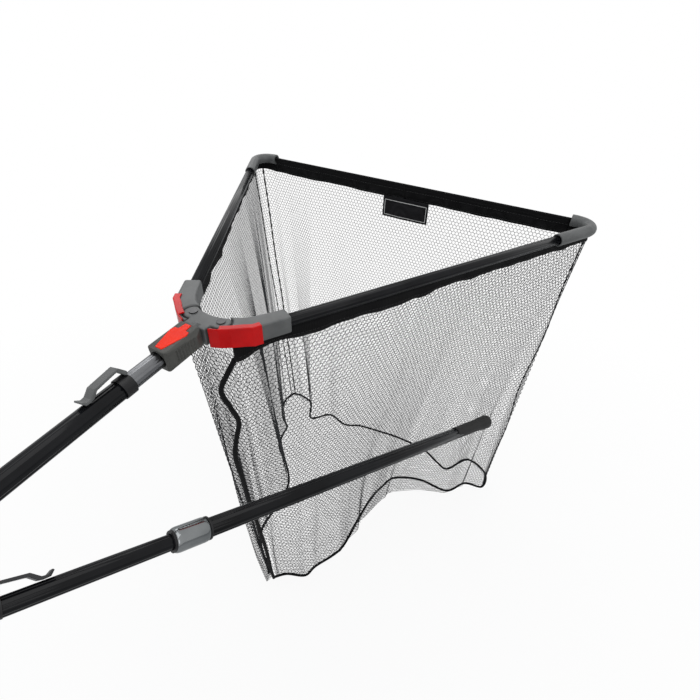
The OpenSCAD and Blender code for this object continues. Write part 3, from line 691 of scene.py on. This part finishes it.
# hems
hem = {
    "low": 0.026,  # depth of the front hem's lower edge below the bar
    "band": 0.034,  # width of the front hem, sewn double
    "cloth": 0.0007,  # half the thickness of the folded cloth
    "stitch": 0.0036,  # length of one stitch
    "round": 0.0031,  # radius of the fold over the front cord
    "lift": 0.0009,  # middle of that fold above the cord's middle
    "levels": ((-0.004, 0.0021), (-0.008, 0.0013), (-0.015, 0.0012), (-0.021, 0.0010)),  # height, half width
    "cord": 0.0019,  # radius of the cord in the front hem
    "rows": ((-0.0085, "Upper"), (-0.0225, "Lower")),  # heights of its rows of stitches
    "face": 0.0014,  # the stitches' distance from the middle of the cloth
}


def stitchRow(name, line, out, body, width=0.0005):
    # short raised threads in a row
    count = int(runAlong(line)[-1] / (hem["stitch"] * 1.45))
    starts = (np.arange(count) + 0.2) / count
    ends = starts + 0.62 / count
    out = np.asarray(out, float)
    skins = []
    for a, b in zip(along(line, starts), along(line, ends)):
        run = (b - a) / np.linalg.norm(b - a)
        across = np.cross(run, out)
        rings = []
        for share, lift in ((0, 0.0), (0.3, width), (0.7, width), (1, 0.0)):
            ring = []
            for turn in range(4):
                c, s = math.cos(turn * math.pi / 2), math.sin(turn * math.pi / 2)
                ring.append(a + (b - a) * share + out * lift + width * 0.6 * (c * across + s * out))
            rings.append(ring)
        skins.append(skinOver(rings))
    return newPiece(name, *joined(skins), "stitch", body, "hem_cloth")


def hemSlack(y, side, z):
    # sideways give of the front hem, growing downwards
    return (0.0012 * math.sin(y * 47 + side) + 0.0008 * math.sin(y * 113)) * -z / hem["low"]


def hemSection(y, side):
    # closed outline of the hem round its cord, from above down one side and up the other
    lower = -hem["low"] + 0.0005 * math.sin(y * 38 + 2 * side)
    outline = []
    for degrees in range(0, 181, 30):
        a = math.radians(degrees)
        outline.append((hem["round"] * math.cos(a), hem["lift"] + hem["round"] * math.sin(a)))
    for z, half in hem["levels"]:
        outline.append((hemSlack(y, side, z) - half, z))
    edge = hem["levels"][-1][1]
    for half in (-edge, edge):
        outline.append((hemSlack(y, side, -hem["low"]) + half, lower))
    for z, half in hem["levels"][::-1]:
        outline.append((hemSlack(y, side, z) + half, z))
    return outline


for side, name in armSides:
    rings = []
    for y in np.linspace(0.0002, mouthHalf - 0.001, 90):
        rings.append([(apex.x + frontReach + x, side * y, apex.z + z) for x, z in hemSection(y, side)])
    piece = newPiece("frontHem_" + name, *skinOver(rings, 1), "hemCloth", None, "hem_cloth",
                     ["front_hem_" + name])
    for level, tag in hem["rows"]:
        line = []
        for y in np.linspace(0.004, mouthHalf - 0.004, 120):
            line.append((frontReach - hem["face"] + hemSlack(y, side, level), side * y, level))
        row = stitchRow("hemStitch" + tag + "_" + name, atHead(line), (-1, 0, 0), None)
        followArm(row)
    followArm(piece)
    # the taut cord that makes the front bar, in its hem
    line = atHead([(frontReach, side * y, 0) for y in np.linspace(0, mouthHalf + 0.012, 40)])
    cordPiece = newPiece("barCord_" + name, *roundCord(line, hem["cord"]), "cordBraid", None, "black_cord",
                         ["front_cord"] if side == 1 else [])
    followArm(cordPiece)
print("front hem sewn")


def hemTop(reach):
    # how far below the arm's axis the cloth starts
    for upTo, top in armHem["tops"]:
        if reach < upTo:
            return top
    return armHem["topAtElbow"]


def armHemPoint(reach, side, share, lift):
    # a place in an arm hem, some share of the way down and lifted towards the mouth
    place, inwards = armPath(reach, side)
    top, deep = hemTop(reach), hemDepth(reach, side)
    sway = share * (0.0011 * math.sin(reach * 71 + side) + 0.0007 * math.sin(reach * 160))
    return atHead(place + inwards * (lift + sway) + (0, 0, -top - (deep - top) * share))


for side, name in armSides:
    stations = np.linspace(armHem["start"], mouthReach + 0.001, 190)
    layers = [(share, hem["cloth"] * (1.5 if share == 0.75 else 1.0)) for share in (0, 0.25, 0.5, 0.75, 1)]
    outline = layers + [(share, -half) for share, half in layers[::-1]]
    rings = [[armHemPoint(reach, side, share, half) for share, half in outline] for reach in stations]
    piece = newPiece("armHem_" + name, *skinOver(rings, 1), "hemCloth", "arm_" + name, "hem_cloth",
                     ["arm_hem_" + name])
    for face, tag in ((1, "Inside"), (-1, "Outside")):
        line = [armHemPoint(reach, side, armHem["stitchAt"], face * hem["cloth"] * 1.6)
                for reach in np.linspace(armHem["stitchFrom"], arcStart, 260)]
        out = armPath(0, side)[1] * face
        stitchRow("armStitch" + tag + "_" + name, np.array(line), out, "arm_" + name)
print("arm hems sewn")


# woven label below the middle of the front hem, left bare inside its frame line
label = {
    "line": 0.0011,  # width of the frame line
    "inset": 0.0035,
    "thick": 0.0007,
    "sewnInto": 0.0035,  # how far its upper edge goes up behind the hem
}
low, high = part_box("label")  # read by labelPoint


def labelPoint(y, z, lift):
    # gently curved cloth, proud at its lower edge
    across = (y - low.y) / (high.y - low.y) * 2 - 1
    drop = (high.z - z) / (high.z - low.z)
    curve = 0.0016 * drop * math.cos(across * 1.6) + 0.0005 * math.sin(across * 7) * drop
    return (high.x - 0.0004 - curve - lift, y, z)


def labelPatch(y1, y2, z1, z2, lift, thick, columns, rows):
    # closed thin patch, so that the cloth has an edge
    vertices, faces = [], []
    for level in (lift, lift + thick):
        for j in range(rows + 1):
            for i in range(columns + 1):
                y = y1 + (y2 - y1) * i / columns
                z = z1 + (z2 - z1) * j / rows
                vertices.append(labelPoint(y, z, level))
    span = columns + 1
    size = (rows + 1) * span
    for j in range(rows):
        for i in range(columns):
            q = (j * span + i, j * span + i + 1, (j + 1) * span + i + 1, (j + 1) * span + i)
            faces.append(q)
            faces.append(tuple(k + size for k in q[::-1]))
    rim = list(range(span))
    rim += [(j + 1) * span - 1 for j in range(1, rows + 1)]
    rim += [rows * span + i for i in range(columns - 1, -1, -1)]
    rim += [j * span for j in range(rows - 1, 0, -1)]
    for a, b in zip(rim, rim[1:] + rim[:1]):
        faces.append((b, a, a + size, b + size))
    return vertices, faces


patch = labelPatch(low.y, high.y, low.z, high.z + label["sewnInto"], 0, label["thick"], 40, 16)
piece = newPiece("labelCloth", *patch, "labelCloth", "head", "label_cloth", ["label"])
inset, wide = label["inset"], label["line"]
y1, y2, z1, z2 = low.y + inset, high.y - inset, low.z + inset, high.z - inset
strips = [
    (y1, y2, z1, z1 + wide, 36, 1),
    (y1, y2, z2 - wide, z2, 36, 1),
    (y1, y1 + wide, z1 + wide, z2 - wide, 1, 12),
    (y2 - wide, y2, z1 + wide, z2 - wide, 1, 12),
]
skins = [labelPatch(*strip[:4], label["thick"] - 0.0001, 0.0003, *strip[4:]) for strip in strips]
newPiece("labelFrameLine", *joined(skins), "labelLine", "head", "label_cloth")
print("label sewn on")


# moulded parts: the frame's own shape with its sharp edges rounded off
def rounded(node, name, voxel, passes, finish, slotName):
    source = nodes[node]
    piece = bpy.data.objects.new(name, source.data.copy())
    scene.collection.objects.link(piece)
    remesh = piece.modifiers.new("remesh", "REMESH")
    remesh.mode = "VOXEL"
    remesh.voxel_size = voxel
    smooth = piece.modifiers.new("smooth", "SMOOTH")
    smooth.factor = 0.5
    smooth.iterations = passes
    depsgraph = bpy.context.evaluated_depsgraph_get()
    mesh = bpy.data.meshes.new_from_object(piece.evaluated_get(depsgraph))
    piece.modifiers.clear()
    piece.data = mesh
    mesh.materials.clear()
    mesh.materials.append(finishes[finish])
    mesh.shade_smooth()
    return settle(piece, source["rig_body"], [node])


moulded = [
    # node, name, voxel, smoothing passes, finish, slot
    ("yoke_block", "yokeBlock", 0.0007, 12, "greyPlastic", "grey_plastic"),
    ("lock_sleeve", "lockSleeve", 0.0005, 3, "sleevePlastic", "grey_plastic"),
    ("sleeve_inset", "sleeveInset", 0.0004, 3, "orange", "orange_plastic"),
    ("front_clip", "frontClip", 0.0005, 3, "greyPlastic", "grey_plastic"),
    ("rear_clip", "rearClip", 0.0005, 3, "darkPlastic", "dark_plastic"),
    ("knuckle_fork", "knuckleFork", 0.0006, 3, "darkPlastic", "dark_plastic"),
    ("knuckle_tongue", "knuckleTongue", 0.0006, 3, "darkPlastic", "dark_plastic"),
    ("butt_cap", "buttCap", 0.0008, 3, "rubber", "black_rubber"),
]
for side in ("left", "right"):
    moulded += [
        ("arm_socket_" + side, "armSocket_" + side, 0.0008, 22, "greyPlastic", "grey_plastic"),
        ("socket_cover_" + side, "socketCover_" + side, 0.0004, 8, "red", "red_plastic"),
        ("elbow_" + side, "elbow_" + side + "Moulding", 0.0007, 4, "greyPlastic", "grey_plastic"),
    ]
for job in moulded:
    rounded(*job)
print("moulded parts rounded:", len(moulded))

# drawn tubes with rounded flutes along them
flute = {
    "count": 7,
    "share": 0.055,  # depth, as a share of the tube's radius
    "narrow": 5,  # the higher, the narrower the flutes
    "edge": 0.0004,  # slant at the tube's ends
    "sides": 126,
}


def flutedTube(node, name, origin, axis, finish, slotName, phase):
    source = nodes[node]
    co = np.array([v.co[:] for v in source.data.vertices])
    axis = np.asarray(axis, float) / np.linalg.norm(axis)
    origin = np.asarray(origin, float)
    reach = (co - origin) @ axis
    away = np.linalg.norm(co - origin - reach[:, None] * axis, axis=1)
    start, end, outer, bore = reach.min(), reach.max(), away.max(), away.min()
    across = np.cross(axis, (0, 0, 1.0))
    across /= np.linalg.norm(across)
    over = np.cross(across, axis)
    sides = flute["sides"]
    angles = np.arange(sides) * 2 * math.pi / sides
    groove = (0.5 + 0.5 * np.cos(flute["count"] * (angles + phase))) ** flute["narrow"]
    skin = outer * (1 - flute["share"] * groove)
    cut = flute["edge"]
    sections = [(start, skin - cut), (start + cut, skin), (end - cut, skin), (end, skin - cut),
                (end, np.full(sides, bore)), (start, np.full(sides, bore))]
    vertices, faces = [], []
    for place, radius in sections:
        for a, r in zip(angles, radius):
            vertices.append(origin + axis * place + r * (math.cos(a) * across + math.sin(a) * over))
    for i in range(len(sections)):
        after = (i + 1) % len(sections)
        for k in range(sides):
            n = (k + 1) % sides
            faces.append((i * sides + k, after * sides + k, after * sides + n, i * sides + n))
    return newPiece(name, vertices, faces, finish, source["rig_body"], slotName, [node])


knuckle = middle("knuckle_pin")
poleAxis = middle("butt_cap") - knuckle
tubes = [
    # node, name, origin, axis, finish, slot, turn of the flutes
    ("front_tube", "frontTube", (0, 0, 0), apex, "anodised", "black_anodised", 0.25),
    ("silver_tube", "silverTube", (0, 0, 0), apex, "silver", "silver_anodised", 0.25),
    ("pole_inner_tube", "poleInner", knuckle, poleAxis, "anodised", "black_anodised", 0.1),
    ("pole_outer_tube", "poleOuter", knuckle, poleAxis, "anodised", "black_anodised", 0.1),
]
for side, name in armSides:
    armAxis = (math.cos(armTurn), side * math.sin(armTurn), 0)
    tubes.append(("arm_tube_" + name, "armTube_" + name, apex, armAxis, "anodised", "black_anodised", 0.35))
for tube in tubes:
    flutedTube(*tube)
print("tubes drawn")

# the frame's own turned parts keep their shape
dressed = {
    "steel": ["knuckle_pin", "pivot_pin_left", "pivot_pin_right"],
    "gunmetal": ["twist_collar"],
    "blackPlastic": ["collar_ring_front", "collar_ring_rear", "front_clip_ring", "rear_clip_ring"],
    "acetal": ["knuckle_washers", "front_expander", "rear_expander", "collar_bush"],
}
for finish, names in dressed.items():
    for node in names:
        mesh = nodes[node].data
        if not mesh.materials:
            mesh.materials.append(finishes[finish])
        for slot in nodes[node].material_slots:
            slot.material = finishes[finish]
print("tubes and pins finished")

# floor, backdrop and light
studio = {
    "floorDrop": 0.012,  # how far the floor lies below the object
    "floorHalf": 30.0,
    "middle": (0.45, 0),
    "white": (0.93, 0.93, 0.93),
    "world": 0.55,
    "fadeFrom": 0.35,  # distance from the middle of the floor
    "fadeTo": 1.3,
    "nearGlow": 0.91,
    "aim": (0.3, 0, -0.1),  # where the lamps point
}
floorZ = cadBox[0].z - studio["floorDrop"]
floorMaterial, tree, shader = newFinish("paleFloor")
cloud = noiseOn(tree, stretchedPlace(tree), 3, 2)
tree.links.new(twoTone(tree, cloud, (0.90, 0.90, 0.90), studio["white"]), shader.inputs["Base Color"])
shader.inputs["Roughness"].default_value = 0.9
shader.inputs["Specular IOR Level"].default_value = 0.1
# seen straight on, the floor turns to plain white away from the object
rays = addNode(tree, "ShaderNodeLightPath")
glow = addNode(tree, "ShaderNodeEmission", Color=(1, 1, 1, 1), Strength=1.0)
place = addNode(tree, "ShaderNodeTexCoord")
centre = addNode(tree, "ShaderNodeVectorMath", {"operation": "DISTANCE"})
centre.inputs[1].default_value = (*studio["middle"], floorZ)
fade = addNode(tree, "ShaderNodeMapRange", From_Min=studio["fadeFrom"], From_Max=studio["fadeTo"],
               To_Min=studio["nearGlow"], To_Max=1.0)
mix = addNode(tree, "ShaderNodeMixShader")
tree.links.new(place.outputs["Object"], centre.inputs[0])
tree.links.new(centre.outputs["Value"], fade.inputs["Value"])
seen = mixValues(tree, rays.outputs["Is Camera Ray"], rays.outputs["Is Transmission Ray"], "MAXIMUM")
seen = mixValues(tree, seen, fade.outputs["Result"], "MULTIPLY")
tree.links.new(seen, mix.inputs["Fac"])
tree.links.new(shader.outputs["BSDF"], mix.inputs[1])
tree.links.new(glow.outputs["Emission"], mix.inputs[2])
tree.links.new(mix.outputs["Shader"], tree.nodes["Material Output"].inputs["Surface"])
half = studio["floorHalf"]
mesh = bpy.data.meshes.new("floor")
mesh.from_pydata([(-half, -half, floorZ), (half, -half, floorZ), (half, half, floorZ), (-half, half, floorZ)],
                 [], [(0, 1, 2, 3)])
mesh.materials.append(floorMaterial)
floor = bpy.data.objects.new("floor", mesh)
scene.collection.objects.link(floor)

world = bpy.data.worlds.new("studio")
scene.world = world
world.use_nodes = True
tree = world.node_tree
tree.nodes.clear()
rays = addNode(tree, "ShaderNodeLightPath")
white = addNode(tree, "ShaderNodeBackground", Color=(1, 1, 1, 1), Strength=1.0)
soft = addNode(tree, "ShaderNodeBackground", Color=(0.96, 0.98, 1, 1), Strength=studio["world"])
mix = addNode(tree, "ShaderNodeMixShader")
output = addNode(tree, "ShaderNodeOutputWorld")
seen = mixValues(tree, rays.outputs["Is Camera Ray"], rays.outputs["Is Glossy Ray"], "MAXIMUM")
seen = mixValues(tree, seen, rays.outputs["Is Transmission Ray"], "MAXIMUM")
tree.links.new(seen, mix.inputs["Fac"])
tree.links.new(soft.outputs["Background"], mix.inputs[1])
tree.links.new(white.outputs["Background"], mix.inputs[2])
tree.links.new(mix.outputs["Shader"], output.inputs["Surface"])

lamps = [
    # name, place, size, power
    ("softAbove", (0.3, -0.1, 1.9), 1.6, 12),
    ("frontFill", (-1.0, -1.5, 1.1), 1.2, 6),
    ("farStrip", (1.6, 1.3, 1.2), 0.9, 6),
]
for name, place, size, power in lamps:
    data = bpy.data.lights.new(name, "AREA")
    data.size = size
    data.energy = power
    lamp = bpy.data.objects.new(name, data)
    lamp.location = place
    lamp.rotation_euler = (Vector(studio["aim"]) - Vector(place)).to_track_quat("-Z", "Y").to_euler()
    scene.collection.objects.link(lamp)
scene.view_settings.view_transform = "Standard"
print("studio lit")
